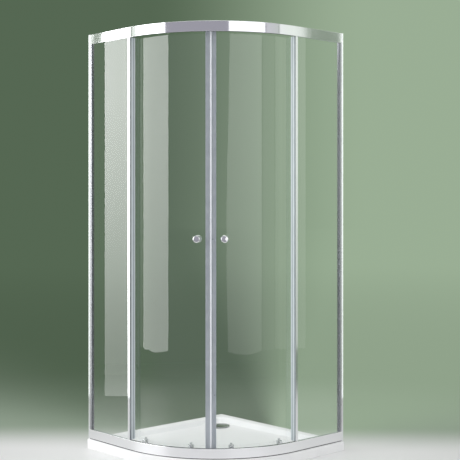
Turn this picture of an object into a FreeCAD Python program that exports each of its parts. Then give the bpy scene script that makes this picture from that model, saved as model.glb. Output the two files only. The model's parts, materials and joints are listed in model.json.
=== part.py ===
"""Quadrant shower enclosure: bent rails, two fixed panes, two curved sliding doors, tray.

Millimetres, +Z up. The backs of the two wall profiles are the planes x = -TRAY_SIZE / 2 and
y = +TRAY_SIZE / 2, and the rounded front points to +X, -Y. The origin is under the middle of the tray's
square. The enclosure is its own mirror image about the upright plane y = -x, so every piece is made for
the left-hand half, and the right-hand one is its reflection.

A place along the left-hand run is given by its distance from the back of the wall profile (run) and by
how far it lies in from the frame's outer face (inset). Past the end of the run the frame bends round
BEND_AXIS: a piece there is made at the start of the bend and swung to its angle.
"""
import FreeCAD
import Part
import math
import os
from FreeCAD import Vector

# Overall sizes
TRAY_SIZE = 900.0
TRAY_HEIGHT = 45.0
FRAME_HEIGHT = 2000.0
CORNER_RADIUS = 550.0
TRAY_MARGIN = 10.0

# Clearances
FIT = 0.2
SHADOW_GAP = 0.4
RUNNING_FIT = 0.05
SKIN_GAP = 0.1
ROLLING_GAP = 0.3
MEETING_GAP = 0.3
THROUGH = 1.0

# Bent rail section
RAIL_HEIGHT = 48.0
RAIL_WALL = 2.0
RAIL_EDGE_RADIUS = 1.5
SLOT_DEPTH = 18.0
LIP_HEIGHT = 4.0
SEALANT_STEP_HEIGHT = 2.5
SEALANT_STEP_DEPTH = 1.2

# Glass
GLASS = 6.0
GASKET_SPACE = 1.0
PANE_END_SPACE = 3.0
PANE_FROM_BEND = 7.0

# Wheels and the room that they need beside them on the way from the bend into the straight
WHEEL_WIDTH = 5.0
WHEEL_RADIUS = 12.0
WHEEL_CROWN = 0.8
WHEEL_TYRE = 2.0
WHEEL_RECESS = 0.6
DRIFT_OUT = 9.8
DRIFT_IN = 1.0
AXLE_RADIUS = 3.0
AXLE_SHOULDER_RADIUS = 4.5
RIVET_RADIUS = 4.0
RIVET_THICKNESS = 0.6

# Rubber stops at the ends of the wheel channel
STOP_LENGTH = 14.0
STOP_CORNER = 3.0
STOP_ABOVE_AXLE = 4.0
STOP_FROM_POST = 129.2

# Doors
DOOR_CLEARANCE = 15.4
DOOR_TOP_CLEARANCE = 5.0
DOOR_BOTTOM_RISE = 29.0
DOOR_FLAT_MARGIN = 35.0
DOOR_EDGE_BACK = 13.0
ROLLER_FROM_BEND = 63.0
ROLLER_FROM_MIDDLE = 102.0

# Wall profile and side post
WALL_PROFILE_RUN = 12.0
POST_TONGUE_START = 3.0
POST_WEB = 2.6
POST_SLOT_DEPTH = 11.0
PROFILE_HOLE_RADIUS = 3.0
PROFILE_HOLE_FROM_END = 250.0
PROFILE_SCREW_DROP = 70.0
SCREW_RADIUS = 1.5
SCREW_LENGTH = 6.0
SCREW_HEAD_RADIUS = 3.0
SCREW_HEAD_TOP_RADIUS = 2.0
SCREW_HEAD = 1.8
CONNECTOR_LEG = 36.0

# Free edge of the fixed pane
EDGE_PROFILE_WIDTH = 15.0
EDGE_PROFILE_WALL = 1.5
EDGE_SEAL_THICKNESS = 1.5
EDGE_SEAL_WIDTH = 13.0
EDGE_FIN_TIP = 17.5

# Hooked seal on the door's trailing edge
HOOK_WALL = 1.5
HOOK_INNER_LEG = 16.0
HOOK_FIN_TIP = 14.0

# Magnetic seal on the door's leading edge
MAGNET_WIDTH = 3.6
MAGNET_DEPTH = 9.0
SEAL_WALL = 1.2
SEAL_CLIP = 12.0
SEAL_EDGE_GAP = 0.5

# Roller hangers at the top
HANGER_THICKNESS = 5.0
HANGER_RADIUS = 10.0
HANGER_HOLE_DROP = 23.0
STUD_RADIUS = 3.0
GLASS_HOLE_RADIUS = 6.0
BUSH_FLANGE = 1.0
BUSH_FLANGE_RADIUS = 9.0
CAP_RADIUS = 12.5
CAP_THICKNESS = 5.0
CAP_ROUNDING = 2.0

# Quick-release guides at the bottom
GUIDE_HOLE_RISE = 17.0
GUIDE_CAP_RADIUS = 10.0
GUIDE_CAP_THICKNESS = 4.0
GUIDE_WHEEL_RADIUS = 9.0
GUIDE_WHEEL_GAP = 1.0
GUIDE_PRESS = 5.0
GUIDE_BODY_WIDTH = 24.0
GUIDE_BODY_DEPTH = 13.0
GUIDE_BODY_BELOW = 13.0
GUIDE_BODY_ABOVE = 9.5
GUIDE_BODY_CORNER = 5.0
PLUNGER_RADIUS = 4.0
PLUNGER_INSET = 6.6
BUTTON_RADIUS = 6.0
BUTTON_THICKNESS = 3.0
BUTTON_ROUNDING = 1.2
BUTTON_REST_GAP = 1.0
FOOT_WIDTH = 12.0
FOOT_HEIGHT = 11.0
FOOT_CORNER = 5.4
FOOT_OUTER_GAP = 4.0

# Knobs
KNOB_RADIUS = 17.0
KNOB_HEAD = 13.0
KNOB_NECK_RADIUS = 7.0
KNOB_NECK = 9.0
KNOB_BASE_RADIUS = 11.0
KNOB_BASE = 4.0
KNOB_CROWN = 1.0
KNOB_FACE_ROUNDING = 5.0
KNOB_ROUNDING = 3.0
KNOB_WAIST_ROUNDING = 4.0
KNOB_HEIGHT = 1003.0
KNOB_FROM_MIDDLE = 67.0
KNOB_STUD_RADIUS = 4.0
KNOB_WASHER = 1.0

# Tray and waste
TRAY_EDGE_RADIUS = 5.0
TRAY_SIDE_CORNER = 8.0
RIM_BACK_SIDE = 40.0
RIM_FRONT_SIDE = 60.0
BASIN_CORNER_RADIUS = 60.0
BASIN_SLOPE_RUN = 36.0
BASIN_DEPTH = 26.0
BASIN_SECTIONS = 6
FALL = 0.010
DRAIN_FROM_BACKS = 145.0
DRAIN_HOLE_RADIUS = 43.0
FLANGE_RADIUS = 56.0
FLANGE_THICKNESS = 2.0
WASTE_GASKET_THICKNESS = 1.5
SLEEVE_WALL = 3.0
SLEEVE_END_RISE = 1.0
COVER_RADIUS = 54.0
COVER_THICKNESS = 2.5
COVER_DOME = 3.0
COVER_WATER_GAP = 4.0
COVER_FOOT_RADIUS = 3.0
COVER_FOOT_CIRCLE = 47.0

# Derived places
FRAME_REACH = TRAY_SIZE - TRAY_MARGIN
BACK_X = -TRAY_SIZE / 2
FACE_Y = TRAY_SIZE / 2 - FRAME_REACH
STRAIGHT = FRAME_REACH - CORNER_RADIUS
PANE_RUN = STRAIGHT - PANE_FROM_BEND
BEND_AXIS = Vector(BACK_X + STRAIGHT, FACE_Y + CORNER_RADIUS, 0)
HALF_BEND = 45.0
BOTTOM = TRAY_HEIGHT
TOP = TRAY_HEIGHT + FRAME_HEIGHT
PROFILE_HOLE_HEIGHTS = (PROFILE_HOLE_FROM_END, FRAME_HEIGHT / 2, FRAME_HEIGHT - PROFILE_HOLE_FROM_END)

PANE_SLOT = GLASS + 2 * GASKET_SPACE
PANE_INSET = RAIL_WALL + GASKET_SPACE
CHANNEL = WHEEL_WIDTH + DRIFT_OUT + DRIFT_IN
RAIL_DEPTH = RAIL_WALL + CHANNEL + RAIL_WALL
TRACK = SLOT_DEPTH + RAIL_WALL
RAIL_START = WALL_PROFILE_RUN + SHADOW_GAP
POST_SLOT_FLOOR = RAIL_START + POST_WEB
POST_RUN = POST_SLOT_FLOOR + POST_SLOT_DEPTH
PROFILE_SCREW_RUN = (POST_TONGUE_START + WALL_PROFILE_RUN) / 2
WHEEL_OUTER_FACE = RAIL_WALL + DRIFT_OUT

DOOR_INSET = RAIL_DEPTH + DOOR_CLEARANCE
DOOR_INNER = DOOR_INSET + GLASS
DOOR_MID_RADIUS = CORNER_RADIUS - DOOR_INSET - GLASS / 2
DOOR_BASE = BOTTOM + DOOR_BOTTOM_RISE
DOOR_HEAD = TOP - DOOR_TOP_CLEARANCE
DOOR_TRAIL_RUN = STRAIGHT - DOOR_FLAT_MARGIN

TOP_WHEEL_Z = TOP - RAIL_HEIGHT + TRACK + ROLLING_GAP + WHEEL_RADIUS
HANGER_HOLE_Z = DOOR_HEAD - HANGER_HOLE_DROP
GUIDE_HOLE_Z = DOOR_BASE + GUIDE_HOLE_RISE
GUIDE_WHEEL_Z = BOTTOM + RAIL_HEIGHT - TRACK - GUIDE_WHEEL_GAP - GUIDE_WHEEL_RADIUS

DRAIN = Vector(BACK_X + DRAIN_FROM_BACKS, TRAY_SIZE / 2 - DRAIN_FROM_BACKS, 0)
DRAIN_Z = TRAY_HEIGHT - BASIN_DEPTH
Z_AXIS = Vector(0, 0, 1)
INWARD = Vector(0, 1, 0)


def run_point(run, inset, z):
    """Point of the left-hand run."""
    return Vector(BACK_X + run, FACE_Y + inset, z)


def arc_angle(length):
    """Angle of a length measured along the outer face of the bend."""
    return math.degrees(length / CORNER_RADIUS)


def swing(shape, angle):
    """Copy of a shape, turned round the axis of the bend."""
    turned_copy = shape.copy()
    turned_copy.rotate(BEND_AXIS, Z_AXIS, angle)
    return turned_copy


def reflect(shape):
    """Right-hand counterpart of a left-hand shape."""
    return shape.mirror(Vector(0, 0, 0), Vector(1, 1, 0))


def rounded_wire(corners, place):
    """Closed wire through corners (u, v, radius), each corner an arc of its radius, set out by place."""
    edges = []
    starts, ends, mids = [], [], []
    count = len(corners)
    for index, (u, v, radius) in enumerate(corners):
        here = Vector(u, v, 0)
        before = Vector(*corners[index - 1][:2], 0) - here
        after = Vector(*corners[(index + 1) % count][:2], 0) - here
        before.normalize()
        after.normalize()
        half = before.getAngle(after) / 2
        middle = before + after
        if radius > 0:
            middle.normalize()
            starts.append(here + before * (radius / math.tan(half)))
            ends.append(here + after * (radius / math.tan(half)))
            mids.append(here + middle * (radius / math.sin(half) - radius))
        else:
            starts.append(here)
            ends.append(here)
            mids.append(None)
    for index in range(count):
        if mids[index] is not None:
            arc = Part.Arc(place(starts[index]), place(mids[index]), place(ends[index]))
            edges.append(arc.toShape())
        following = starts[(index + 1) % count]
        if following.distanceToPoint(ends[index]) > 1e-6:
            edges.append(Part.LineSegment(place(ends[index]), place(following)).toShape())
    return Part.Wire(edges)


def upright(corners, low, high):
    """Upright extrusion of a plan outline given in run and inset."""
    wire = rounded_wire(corners, lambda p: run_point(p.x, p.y, low))
    return Part.Face(wire).extrude(Vector(0, 0, high - low))


def sharp(*points):
    """Corner list without rounding."""
    return [(u, v, 0) for u, v in points]


def turned(corners, z):
    """Solid of revolution about a level line at the start of the bend, from (inset, radius, rounding)."""
    wire = rounded_wire(corners, lambda p: Vector(BEND_AXIS.x, FACE_Y + p.x, z + p.y))
    return Part.Face(wire).revolve(Vector(BEND_AXIS.x, FACE_Y, z), INWARD, 360)


def level_pin(inset_from, inset_to, radius, z):
    """Plain round bar across the door at the start of the bend."""
    start = Vector(BEND_AXIS.x, FACE_Y + inset_from, z)
    return Part.makeCylinder(radius, inset_to - inset_from, start, INWARD)


def upright_turned(corners, centre):
    """Solid of revolution about an upright line, from (radius, height, rounding)."""
    wire = rounded_wire(corners, lambda p: Vector(centre.x + p.x, centre.y, p.y))
    return Part.Face(wire).revolve(centre, Z_AXIS, 360)


def bow(half_width):
    """How far the inside of the curved door pane stands off a flat piece of this half width."""
    return half_width ** 2 / (2 * (CORNER_RADIUS - DOOR_INNER))


def tray_outline(in_from_back, in_from_front, back_corner, side_corner, z):
    """Quadrant outline, set in from the backs and from the front of the tray's square."""
    half = TRAY_SIZE / 2
    front_radius = CORNER_RADIUS + TRAY_MARGIN - in_from_front
    corners = [
        (-half + in_from_back, half - in_from_back, back_corner),
        (half - in_from_front, half - in_from_back, side_corner),
        (half - in_from_front, -half + in_from_front, front_radius),
        (-half + in_from_back, -half + in_from_front, side_corner),
    ]
    return rounded_wire(corners, lambda p: Vector(p.x, p.y, z))


def shower_tray():
    """Solid cast tray: flat rim, soft basin walls, floor falling to the drain from every side."""
    outline = Part.Face(tray_outline(0, 0, 0, TRAY_SIDE_CORNER, 0))
    slab = outline.extrude(Vector(0, 0, TRAY_HEIGHT))
    rim_edges = [
        edge for edge in slab.Edges
        if edge.BoundBox.ZMin > TRAY_HEIGHT - 1e-3 and not along_back(edge)
    ]
    slab = slab.makeFillet(TRAY_EDGE_RADIUS, rim_edges)
    sections = [basin_section(step / BASIN_SECTIONS) for step in range(BASIN_SECTIONS + 1)]
    basin = Part.makeLoft(sections, True, False)
    reach = 2 * TRAY_SIZE
    water = upright_turned(
        sharp((0, DRAIN_Z), (reach, DRAIN_Z + FALL * reach), (reach, 2 * TRAY_HEIGHT), (0, 2 * TRAY_HEIGHT)),
        DRAIN)
    recess_floor = DRAIN_Z - FLANGE_THICKNESS - WASTE_GASKET_THICKNESS
    recess = Part.makeCylinder(FLANGE_RADIUS + FIT, TRAY_HEIGHT, DRAIN + Vector(0, 0, recess_floor))
    hole = Part.makeCylinder(DRAIN_HOLE_RADIUS, TRAY_HEIGHT, DRAIN)
    return slab.cut(basin.common(water)).cut(recess).cut(hole)


def basin_section(share):
    """Outline of the basin at a share of the way down its wall, which leaves the rim and ends level."""
    run = BASIN_SLOPE_RUN * share
    corner = BASIN_CORNER_RADIUS - run
    drop = BASIN_DEPTH * (3 * share ** 2 - 2 * share ** 3)
    return tray_outline(RIM_BACK_SIDE + run, RIM_FRONT_SIDE + run, corner, corner, TRAY_HEIGHT - drop)


def along_back(edge):
    """Whether an edge of the tray lies along one of its two straight backs."""
    box = edge.BoundBox
    back = TRAY_SIZE / 2 - 1e-3
    return box.XMax < -back or box.YMin > back


def waste_flange():
    """Flanged sleeve through the tray."""
    sleeve = DRAIN_HOLE_RADIUS - FIT
    bore = sleeve - SLEEVE_WALL
    seat = DRAIN_Z - FLANGE_THICKNESS
    return upright_turned(
        [(bore, SLEEVE_END_RISE, 0), (sleeve, SLEEVE_END_RISE, 0), (sleeve, seat, 0),
         (FLANGE_RADIUS, seat, 0), (FLANGE_RADIUS, DRAIN_Z, FLANGE_THICKNESS / 2), (bore, DRAIN_Z, 0)], DRAIN)


def waste_gasket():
    """Flat ring between the flange and the tray."""
    seat = DRAIN_Z - FLANGE_THICKNESS - WASTE_GASKET_THICKNESS
    ring = Part.makeCylinder(FLANGE_RADIUS, WASTE_GASKET_THICKNESS, DRAIN + Vector(0, 0, seat))
    return ring.cut(Part.makeCylinder(DRAIN_HOLE_RADIUS, TRAY_HEIGHT, DRAIN))


def drain_cover():
    """Domed cover on four feet that stand on the flange; water runs in under its rim."""
    under = DRAIN_Z + COVER_WATER_GAP
    crown = COVER_RADIUS ** 2 / (2 * COVER_DOME) + COVER_DOME / 2
    ball_centre = DRAIN + Vector(0, 0, under + COVER_THICKNESS + COVER_DOME - crown)
    blank = Part.makeCylinder(COVER_RADIUS, COVER_THICKNESS + COVER_DOME, DRAIN + Vector(0, 0, under))
    dome = blank.common(Part.makeSphere(crown, ball_centre))
    hollow_centre = ball_centre - Vector(0, 0, COVER_THICKNESS)
    hollow = Part.makeCylinder(
        COVER_RADIUS - COVER_THICKNESS, COVER_THICKNESS + COVER_DOME, DRAIN + Vector(0, 0, under))
    dome = dome.cut(hollow.common(Part.makeSphere(crown, hollow_centre)))
    for quarter in range(4):
        foot = Part.makeCylinder(
            COVER_FOOT_RADIUS, COVER_WATER_GAP + COVER_THICKNESS - FIT,
            DRAIN + Vector(COVER_FOOT_CIRCLE, 0, DRAIN_Z + FIT))
        foot.rotate(DRAIN, Z_AXIS, 90 * quarter)
        dome = dome.fuse(foot)
    return dome.removeSplitter()


def rail_section(run, track_up):
    """Section of the bent rail: pane slot on one side of the track, wheel channel on the other.

    The top rail carries the track as a ledge with an upturned lip; the bottom rail is the same section
    upside down, with a step along its foot for the sealant.
    """
    inner_web = RAIL_WALL + PANE_SLOT + RAIL_WALL
    mouth = RAIL_DEPTH - RAIL_WALL
    corners = [
        (0, 0, RAIL_EDGE_RADIUS),
        (RAIL_WALL, 0, 0),
        (RAIL_WALL, SLOT_DEPTH, 0),
        (inner_web - RAIL_WALL, SLOT_DEPTH, 0),
        (inner_web - RAIL_WALL, 0, 0),
        (inner_web, 0, 0),
        (inner_web, SLOT_DEPTH, 0),
        (RAIL_DEPTH, SLOT_DEPTH, 0),
        (RAIL_DEPTH, TRACK + LIP_HEIGHT, 0),
        (mouth, TRACK + LIP_HEIGHT, 0),
        (mouth, TRACK, 0),
        (RAIL_WALL, TRACK, 0),
        (RAIL_WALL, RAIL_HEIGHT - RAIL_WALL, 0),
        (RAIL_DEPTH, RAIL_HEIGHT - RAIL_WALL, 0),
        (RAIL_DEPTH, RAIL_HEIGHT, RAIL_EDGE_RADIUS / 2),
    ]
    if track_up:
        base, sense = TOP - RAIL_HEIGHT, 1
        corners.append((0, RAIL_HEIGHT, RAIL_EDGE_RADIUS))
    else:
        base, sense = BOTTOM + RAIL_HEIGHT, -1
        step = RAIL_HEIGHT - SEALANT_STEP_HEIGHT
        corners += sharp((SEALANT_STEP_DEPTH, RAIL_HEIGHT), (SEALANT_STEP_DEPTH, step))
        corners.append((0, step, SEALANT_STEP_DEPTH / 2))
    return Part.Face(rounded_wire(corners, lambda p: run_point(run, p.x, base + sense * p.y)))


def bent_rail(track_up):
    """Rail from wall profile to wall profile: straight, a quarter bend, straight."""
    straight = rail_section(RAIL_START, track_up).extrude(Vector(STRAIGHT - RAIL_START, 0, 0))
    bend = rail_section(STRAIGHT, track_up).revolve(BEND_AXIS, Z_AXIS, 2 * HALF_BEND)
    return straight.fuse([bend, reflect(straight)]).removeSplitter()


def wall_profile():
    """Upright channel, drilled through its back, that takes the tongue of the side post."""
    mouth = RAIL_DEPTH - RAIL_WALL
    channel = upright(
        [(0, 0, 0), (WALL_PROFILE_RUN, 0, RAIL_WALL / 2), (WALL_PROFILE_RUN, RAIL_WALL, 0),
         (RAIL_WALL, RAIL_WALL, 0), (RAIL_WALL, mouth, 0), (WALL_PROFILE_RUN, mouth, 0),
         (WALL_PROFILE_RUN, RAIL_DEPTH, RAIL_WALL / 2), (0, RAIL_DEPTH, 0)], BOTTOM, TOP)
    for height in PROFILE_HOLE_HEIGHTS:
        start = run_point(-THROUGH, RAIL_DEPTH / 2, BOTTOM + height)
        channel = channel.cut(
            Part.makeCylinder(PROFILE_HOLE_RADIUS, RAIL_WALL + 2 * THROUGH, start, Vector(1, 0, 0)))
    for place in profile_screw_places():
        channel = channel.cut(screw_shank(*place, RUNNING_FIT))
    return channel


def profile_screw_places():
    """Run and height of each screw that holds a post in its wall profile."""
    return [(PROFILE_SCREW_RUN, BOTTOM + height - PROFILE_SCREW_DROP) for height in PROFILE_HOLE_HEIGHTS]


def corner_screw_place(low_end):
    """Run and height of the screw through the post into the middle of a connector's leg."""
    run = (POST_SLOT_FLOOR + POST_RUN - RAIL_WALL) / 2
    rise = RAIL_HEIGHT + CONNECTOR_LEG / 2
    return run, BOTTOM + rise if low_end else TOP - rise


def screw_shank(run, z, clearance):
    """Shank of a screw driven from the frame's inner face, or with a clearance the hole for it."""
    length = SCREW_LENGTH + clearance
    return Part.makeCylinder(SCREW_RADIUS + clearance, length, run_point(run, RAIL_DEPTH - length, z), INWARD)


def screw(run, z):
    """Pan-head screw on the frame's inner face."""
    head = Part.makeCone(
        SCREW_HEAD_RADIUS, SCREW_HEAD_TOP_RADIUS, SCREW_HEAD, run_point(run, RAIL_DEPTH, z), INWARD)
    return head.fuse(screw_shank(run, z, 0)).removeSplitter()


def side_post():
    """Upright between the rails: a tongue in the wall profile, a box chamber and a slot for the pane."""
    mouth = RAIL_DEPTH - RAIL_WALL
    slot_far = RAIL_WALL + PANE_SLOT
    body_start = RAIL_START
    tongue_out = RAIL_WALL + SHADOW_GAP
    tongue_in = mouth - SHADOW_GAP
    low = BOTTOM + RAIL_HEIGHT + FIT
    high = TOP - RAIL_HEIGHT - FIT
    post = upright(
        [(body_start, 0, RAIL_WALL / 2), (POST_RUN, 0, RAIL_WALL / 2), (POST_RUN, RAIL_WALL, 0),
         (POST_SLOT_FLOOR, RAIL_WALL, 0), (POST_SLOT_FLOOR, slot_far, 0), (POST_RUN, slot_far, 0),
         (POST_RUN, RAIL_DEPTH, RAIL_WALL / 2), (body_start, RAIL_DEPTH, RAIL_WALL / 2),
         (body_start, tongue_in, 0), (POST_TONGUE_START, tongue_in, 0),
         (POST_TONGUE_START, tongue_in - RAIL_WALL, 0), (body_start, tongue_in - RAIL_WALL, 0),
         (body_start, tongue_out + RAIL_WALL, 0), (POST_TONGUE_START, tongue_out + RAIL_WALL, 0),
         (POST_TONGUE_START, tongue_out, 0), (body_start, tongue_out, 0)], low, high)
    post = post.cut(upright(post_chamber(0), low, high))
    places = profile_screw_places() + [corner_screw_place(True), corner_screw_place(False)]
    for place in places:
        post = post.cut(screw_shank(*place, RUNNING_FIT))
    return post


def post_chamber(clearance):
    """Plan outline of the hollow in the side post that takes the leg of a corner connector."""
    start = POST_SLOT_FLOOR + clearance
    end = POST_RUN - RAIL_WALL - clearance
    near = RAIL_WALL + PANE_SLOT + RAIL_WALL + clearance
    far = RAIL_DEPTH - RAIL_WALL - clearance
    return sharp((start, near), (end, near), (end, far), (start, far))


def corner_connector(low_end):
    """Moulded corner piece: a block under the rail's ledge with a leg in the side post."""
    near = RAIL_WALL + PANE_SLOT + RAIL_WALL + FIT
    start = RAIL_START + FIT
    if low_end:
        seat = BOTTOM + RAIL_HEIGHT
        block_low, block_high = seat - SLOT_DEPTH + FIT, seat
        leg_low, leg_high = seat, seat + CONNECTOR_LEG
    else:
        seat = TOP - RAIL_HEIGHT
        block_low, block_high = seat, seat + SLOT_DEPTH - FIT
        leg_low, leg_high = seat - CONNECTOR_LEG, seat
    block = upright(
        sharp((start, near), (POST_RUN, near), (POST_RUN, RAIL_DEPTH), (start, RAIL_DEPTH)),
        block_low, block_high)
    connector = block.fuse(upright(post_chamber(FIT), leg_low, leg_high)).removeSplitter()
    return connector.cut(screw_shank(*corner_screw_place(low_end), RUNNING_FIT))


def fixed_glass():
    """Flat pane held in the post and in the slots of both rails."""
    start = run_point(
        POST_SLOT_FLOOR + PANE_END_SPACE, PANE_INSET, BOTTOM + RAIL_HEIGHT - SLOT_DEPTH + PANE_END_SPACE)
    height = FRAME_HEIGHT - 2 * (RAIL_HEIGHT - SLOT_DEPTH + PANE_END_SPACE)
    return Part.makeBox(PANE_RUN - POST_SLOT_FLOOR - PANE_END_SPACE, GLASS, height, start)


def glazing_gasket():
    """U-shaped strips round the pane: one in the post, one in each rail."""
    outer_near = RAIL_WALL + FIT
    outer_far = RAIL_WALL + PANE_SLOT - FIT
    inner_near = PANE_INSET - SKIN_GAP
    inner_far = PANE_INSET + GLASS + SKIN_GAP
    edge = PANE_END_SPACE - SKIN_GAP

    def trough(depth):
        return [
            (FIT, outer_near), (depth - FIT, outer_near), (depth - FIT, inner_near), (edge, inner_near),
            (edge, inner_far), (depth - FIT, inner_far), (depth - FIT, outer_far), (FIT, outer_far)]

    post_strip = upright(
        sharp(*[(POST_SLOT_FLOOR + into, inset) for into, inset in trough(POST_RUN - POST_SLOT_FLOOR)]),
        BOTTOM + RAIL_HEIGHT + FIT, TOP - RAIL_HEIGHT - FIT)
    strips = [post_strip]
    for base, sense in ((BOTTOM + RAIL_HEIGHT - SLOT_DEPTH, 1), (TOP - RAIL_HEIGHT + SLOT_DEPTH, -1)):
        points = [run_point(POST_RUN + FIT, inset, base + sense * into) for into, inset in trough(SLOT_DEPTH)]
        face = Part.Face(Part.makePolygon(points + points[:1]))
        strips.append(face.extrude(Vector(PANE_RUN - EDGE_PROFILE_WIDTH - POST_RUN, 0, 0)))
    return strips


def fixed_edge_profile():
    """Bright channel on the free edge of the fixed pane."""
    near = PANE_INSET - FIT
    far = PANE_INSET + GLASS + FIT
    start = PANE_RUN + FIT + EDGE_PROFILE_WALL - EDGE_PROFILE_WIDTH
    end = PANE_RUN + FIT + EDGE_PROFILE_WALL
    wall = EDGE_PROFILE_WALL
    return upright(
        [(start, near - wall, 0), (end, near - wall, wall / 2), (end, far + wall, wall / 2),
         (start, far + wall, 0), (start, far, 0), (end - wall, far, 0), (end - wall, near, 0),
         (start, near, 0)], BOTTOM + RAIL_HEIGHT + FIT, TOP - RAIL_HEIGHT - FIT)


def fixed_edge_seal():
    """Strip on the inside of the edge profile, with a fin for the door's hook to close against."""
    base = PANE_INSET + GLASS + FIT + EDGE_PROFILE_WALL + SKIN_GAP
    end = PANE_RUN + FIT + EDGE_PROFILE_WALL
    thick = EDGE_SEAL_THICKNESS
    return upright(
        [(end - EDGE_SEAL_WIDTH, base, 0), (end, base, 0), (end, EDGE_FIN_TIP, thick / 3),
         (end - thick, EDGE_FIN_TIP, thick / 3), (end - thick, base + thick, 0),
         (end - EDGE_SEAL_WIDTH, base + thick, 0)], BOTTOM + RAIL_HEIGHT + FIT, TOP - RAIL_HEIGHT - FIT)


def end_stop():
    """Rubber block in the top rail's channel that halts the outer wheel of an opening door."""
    back = POST_RUN + STOP_FROM_POST
    reach = back + STOP_LENGTH
    floor = TOP - RAIL_HEIGHT + TRACK + SKIN_GAP
    near = RAIL_WALL + FIT
    far = RAIL_DEPTH - RAIL_WALL - FIT
    corners = [(run, inset, STOP_CORNER) for run, inset in (
        (back, near), (reach, near), (reach, far), (back, far))]
    return upright(corners, floor, floor + WHEEL_RADIUS + STOP_ABOVE_AXLE)


def door_glass():
    """Curved pane with a short flat margin at its trailing edge, drilled for knob, hangers and guides."""
    flat = Part.makeBox(
        DOOR_FLAT_MARGIN, GLASS, DOOR_HEAD - DOOR_BASE, run_point(DOOR_TRAIL_RUN, DOOR_INSET, DOOR_BASE))
    section = Part.Face(Part.makePolygon([
        run_point(STRAIGHT, DOOR_INSET, DOOR_BASE), run_point(STRAIGHT, DOOR_INNER, DOOR_BASE),
        run_point(STRAIGHT, DOOR_INNER, DOOR_HEAD), run_point(STRAIGHT, DOOR_INSET, DOOR_HEAD),
        run_point(STRAIGHT, DOOR_INSET, DOOR_BASE)]))
    sweep = HALF_BEND - math.degrees(DOOR_EDGE_BACK / DOOR_MID_RADIUS)
    pane = flat.fuse(section.revolve(BEND_AXIS, Z_AXIS, sweep)).removeSplitter()
    drills = [swing(level_pin(DOOR_INSET - THROUGH, DOOR_INNER + THROUGH, GLASS_HOLE_RADIUS, z), angle)
              for angle, z in glass_hole_places()]
    return pane.cut(Part.makeCompound(drills))


def glass_hole_places():
    """Angle and height of each hole in a door pane: knob, two hangers, two guides."""
    places = [(knob_angle(), BOTTOM + KNOB_HEIGHT)]
    for angle in roller_angles():
        places.append((angle, HANGER_HOLE_Z))
        places.append((angle, GUIDE_HOLE_Z))
    return places


def roller_angles():
    """Angles of the outer and the inner roller round the bend."""
    return arc_angle(ROLLER_FROM_BEND), HALF_BEND - arc_angle(ROLLER_FROM_MIDDLE)


def knob_angle():
    """Angle of the knob, a set distance short of the doors' meeting line."""
    return HALF_BEND - arc_angle(KNOB_FROM_MIDDLE)


def trailing_seal():
    """Hooked strip clipped on the door's trailing edge; its fin reaches behind the fixed pane's fin."""
    edge = DOOR_TRAIL_RUN - SKIN_GAP
    back = edge - HOOK_WALL
    outer = DOOR_INSET - SKIN_GAP
    inner = DOOR_INNER + SKIN_GAP
    fin = PANE_RUN + FIT + EDGE_PROFILE_WALL - EDGE_SEAL_THICKNESS - 2 * ROLLING_GAP
    return upright(
        [(back, outer - HOOK_WALL, 0), (fin - HOOK_WALL, outer - HOOK_WALL, 0),
         (fin - HOOK_WALL, HOOK_FIN_TIP, HOOK_WALL / 3), (fin, HOOK_FIN_TIP, HOOK_WALL / 3),
         (fin, outer, 0), (edge, outer, 0), (edge, inner, 0), (edge + HOOK_INNER_LEG, inner, 0),
         (edge + HOOK_INNER_LEG, inner + HOOK_WALL, 0), (back, inner + HOOK_WALL, HOOK_WALL)],
        BOTTOM + RAIL_HEIGHT + ROLLING_GAP, TOP - RAIL_HEIGHT - ROLLING_GAP)


def at_middle(corners, low, high):
    """Upright strip at the doors' meeting line; u counts back from the line, v is the inset."""
    placed = [(STRAIGHT - u, v, radius) for u, v, radius in corners]
    return swing(upright(placed, low, high), HALF_BEND)


def magnetic_seal():
    """Clear strip clipped on the leading edge, with a closed pocket for the magnet."""
    mid = DOOR_INSET + GLASS / 2
    face = MEETING_GAP / 2
    pocket_end = face + 2 * SEAL_WALL + MAGNET_WIDTH
    edge = DOOR_EDGE_BACK - SEAL_EDGE_GAP
    legs = edge + SEAL_CLIP
    out = DOOR_INSET - SKIN_GAP
    inn = DOOR_INNER + bow(legs) + SKIN_GAP
    half = MAGNET_DEPTH / 2 + SEAL_WALL
    body = at_middle(
        [(face, mid - half, SEAL_WALL), (pocket_end, mid - half, 0), (pocket_end, out - SEAL_WALL, 0),
         (legs, out - SEAL_WALL, 0), (legs, out, 0), (edge, out, 0), (edge, inn, 0), (legs, inn, 0),
         (legs, inn + SEAL_WALL, 0), (pocket_end, inn + SEAL_WALL, 0), (pocket_end, mid + half, 0),
         (face, mid + half, SEAL_WALL)], seal_low(), seal_high())
    return body.cut(at_middle(magnet_outline(0), seal_low(), seal_high()))


def seal_low():
    """Lower end of the strips at the meeting line."""
    return DOOR_BASE + ROLLING_GAP


def seal_high():
    """Upper end of the strips at the meeting line."""
    return DOOR_HEAD - ROLLING_GAP


def magnet_outline(clearance):
    """Plan outline of the magnet in its pocket."""
    mid = DOOR_INSET + GLASS / 2
    near = MEETING_GAP / 2 + SEAL_WALL + clearance
    far = MEETING_GAP / 2 + SEAL_WALL + MAGNET_WIDTH - clearance
    half = MAGNET_DEPTH / 2 - clearance
    return sharp((near, mid - half), (far, mid - half), (far, mid + half), (near, mid + half))


def magnet_strip():
    """Flexible magnet inside the leading seal."""
    return at_middle(magnet_outline(SKIN_GAP), seal_low(), seal_high())


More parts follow.
